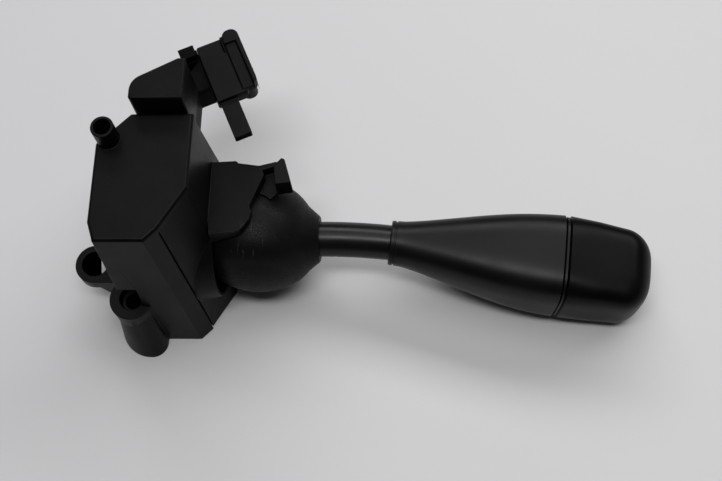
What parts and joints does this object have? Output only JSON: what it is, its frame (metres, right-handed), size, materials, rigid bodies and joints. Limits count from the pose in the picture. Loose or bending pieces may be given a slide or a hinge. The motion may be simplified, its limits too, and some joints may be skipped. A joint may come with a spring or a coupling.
{
  "type": "steering column adjustment switch",
  "caption": "Moulded switch case with screw bores and an ear, a ball-mounted lever with a long grip, and a turned side connector.",
  "frame": {"origin": "mouth of the lower screw bore on the base plane", "axes": "+X along the lever towards its tip, +Y towards the connector side, +Z from the base to the top plate"},
  "size_m": [0.1442, 0.0689, 0.06],
  "materials": {
    "case_plastic": "satin black glass-filled nylon",
    "grip_plastic": "soft satin black",
    "grained_plastic": "fine leather grain",
    "rod_plastic": "smooth satin",
    "slide_plastic": "natural acetal",
    "steel": "zinc plated",
    "brass": "stamped",
    "board": "laminate"
  },
  "bodies": {
    "case": {"main_case": "case_plastic", "base_cover": "case_plastic", "base_screws": "steel", "lever_carrier": "case_plastic", "cradle_pins": "steel", "slider_guide": "slide_plastic", "guide_screws": "steel", "contact_board": "board", "contact_tracks": "brass", "lead_strips": "brass", "terminal_blades": "brass", "terminal_cover": "case_plastic", "connector_arm": "case_plastic", "arm_lid": "case_plastic", "connector_housing": "case_plastic", "reach_spring": "steel", "tilt_spring": "steel"},
    "gimbal": {"cradle": "slide_plastic"},
    "lever": {"lever_hub": "slide_plastic", "lever_pin": "steel", "rod_pin": "steel", "dome_cap": "grained_plastic", "lever_rod": "rod_plastic", "knob_body": "grip_plastic", "seam_ring": "grip_plastic", "end_cap": "grip_plastic", "grip_washer": "steel", "grip_screw": "steel"},
    "reach_switch": {"reach_slider": "slide_plastic", "reach_contact": "brass"},
    "tilt_switch": {"tilt_slider": "slide_plastic", "tilt_contact": "brass"}
  },
  "joints": [
    {"name": "reach_swing", "type": "hinge", "parent": "case", "child": "gimbal", "pos_m": [0.03, 0.017, 0.0163], "axis": [0, 0, 1], "range_deg": [-7, 7], "stiffness_Nm_per_rad": 3},
    {"name": "tilt_swing", "type": "hinge", "parent": "gimbal", "child": "lever", "pos_m": [0.03, 0.017, 0.0163], "axis": [0, 1, 0], "range_deg": [-7, 7], "stiffness_Nm_per_rad": 3},
    {"name": "reach_slide", "type": "slide", "parent": "case", "child": "reach_switch", "axis": [0, 1, 0], "range_m": [-0.0026, 0.0026], "deforming": ["reach_spring"]},
    {"name": "tilt_slide", "type": "slide", "parent": "case", "child": "tilt_switch", "axis": [0, 0, 1], "range_m": [-0.0026, 0.0026], "deforming": ["tilt_spring"]}
  ],
  "couplings": [
    {"joint": "reach_slide", "follows": "reach_swing", "m_per_rad": -0.021},
    {"joint": "tilt_slide", "follows": "tilt_swing", "m_per_rad": 0.017}
  ]
}
